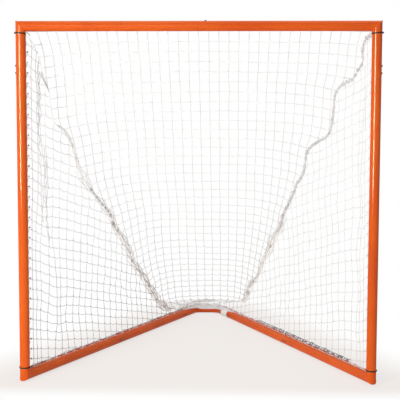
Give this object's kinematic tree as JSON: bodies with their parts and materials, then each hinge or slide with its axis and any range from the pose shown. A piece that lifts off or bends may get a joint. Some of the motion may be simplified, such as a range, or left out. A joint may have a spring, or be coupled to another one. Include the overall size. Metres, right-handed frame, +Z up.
{
  "type": "lacrosse goal",
  "caption": "Field lacrosse goal: square orange tube mouth, V-shaped ground rails to a short bent rear piece, and a white knotted net laced to rods behind the tubes.",
  "frame": {"origin": "on the ground, at the centre of the bounding box", "axes": "+Y from the mouth to the rear, +Z up, +X to the right as seen from in front of the mouth"},
  "size_m": [1.843, 2.1366, 1.8333],
  "materials": {
    "orange_paint": "glossy orange powder coat",
    "zinc_steel": "zinc plated",
    "white_cord": "white twisted cord",
    "black_nylon": "black nylon"
  },
  "bodies": {
    "root": {"cable_tie_foot_left": "black_nylon", "cable_tie_foot_right": "black_nylon", "cable_tie_top_left": "black_nylon", "cable_tie_top_right": "black_nylon", "crossbar_left": "orange_paint", "crossbar_right": "orange_paint", "drop_leg_left": "orange_paint", "drop_leg_right": "orange_paint", "lacing_cord_base": "white_cord", "lacing_cord_crossbar": "white_cord", "lacing_cord_post_left": "white_cord", "lacing_cord_post_right": "white_cord", "lacing_rod_crossbar_left": "orange_paint", "lacing_rod_crossbar_right": "orange_paint", "lacing_rod_drop_leg_left": "orange_paint", "lacing_rod_drop_leg_right": "orange_paint", "lacing_rod_post_left": "orange_paint", "lacing_rod_post_right": "orange_paint", "lacing_rod_rail_front_left": "orange_paint", "lacing_rod_rail_front_right": "orange_paint", "lacing_rod_rail_rear_left": "orange_paint", "lacing_rod_rail_rear_right": "orange_paint", "lacing_rod_rear": "orange_paint", "net_back": "white_cord", "net_side_left": "white_cord", "net_side_right": "white_cord", "post_left": "orange_paint", "post_right": "orange_paint", "rail_front_left": "orange_paint", "rail_front_right": "orange_paint", "rail_rear_left": "orange_paint", "rail_rear_right": "orange_paint", "rear_connector": "orange_paint", "screw_crossbar": "zinc_steel", "screw_post_far_left": "zinc_steel", "screw_post_far_right": "zinc_steel", "screw_post_near_left": "zinc_steel", "screw_post_near_right": "zinc_steel", "screw_rail_far_left": "zinc_steel", "screw_rail_far_right": "zinc_steel", "screw_rail_near_left": "zinc_steel", "screw_rail_near_right": "zinc_steel", "screw_rear_far_left": "zinc_steel", "screw_rear_far_right": "zinc_steel", "screw_rear_near_left": "zinc_steel", "screw_rear_near_right": "zinc_steel", "seam_cord_left": "white_cord", "seam_cord_right": "white_cord", "sleeve_crossbar": "zinc_steel", "sleeve_post_left": "zinc_steel", "sleeve_post_right": "zinc_steel", "sleeve_rail_left": "zinc_steel", "sleeve_rail_right": "zinc_steel", "sleeve_rear_left": "zinc_steel", "sleeve_rear_right": "zinc_steel"}
  },
  "joints": []
}
